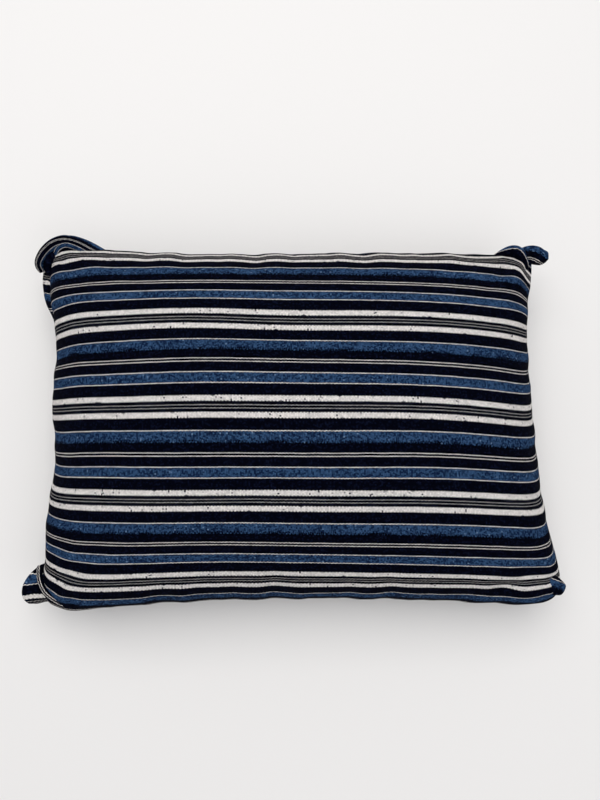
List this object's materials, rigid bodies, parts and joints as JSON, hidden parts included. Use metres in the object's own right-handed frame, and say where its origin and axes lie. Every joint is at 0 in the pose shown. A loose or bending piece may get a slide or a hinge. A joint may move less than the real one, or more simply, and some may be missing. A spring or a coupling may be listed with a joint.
{
  "type": "scatter cushion",
  "caption": "Plump rectangular scatter cushion in striped hand-woven cotton, with a plain sewn edge and soft gathered ears at the corners.",
  "frame": {"origin": "on the floor, at the middle of the flattened area that the cushion's back rests on", "axes": "+X along the cushion's length and its stripes, +Y in the plane of the face towards its top edge, +Z out of the face"},
  "size_m": [0.5322, 0.3772, 0.1437],
  "materials": {
    "striped_cotton": "matt hand-woven cotton in navy, blue and off-white stripes"
  },
  "bodies": {
    "root": {"cushion": "striped_cotton"}
  },
  "joints": []
}
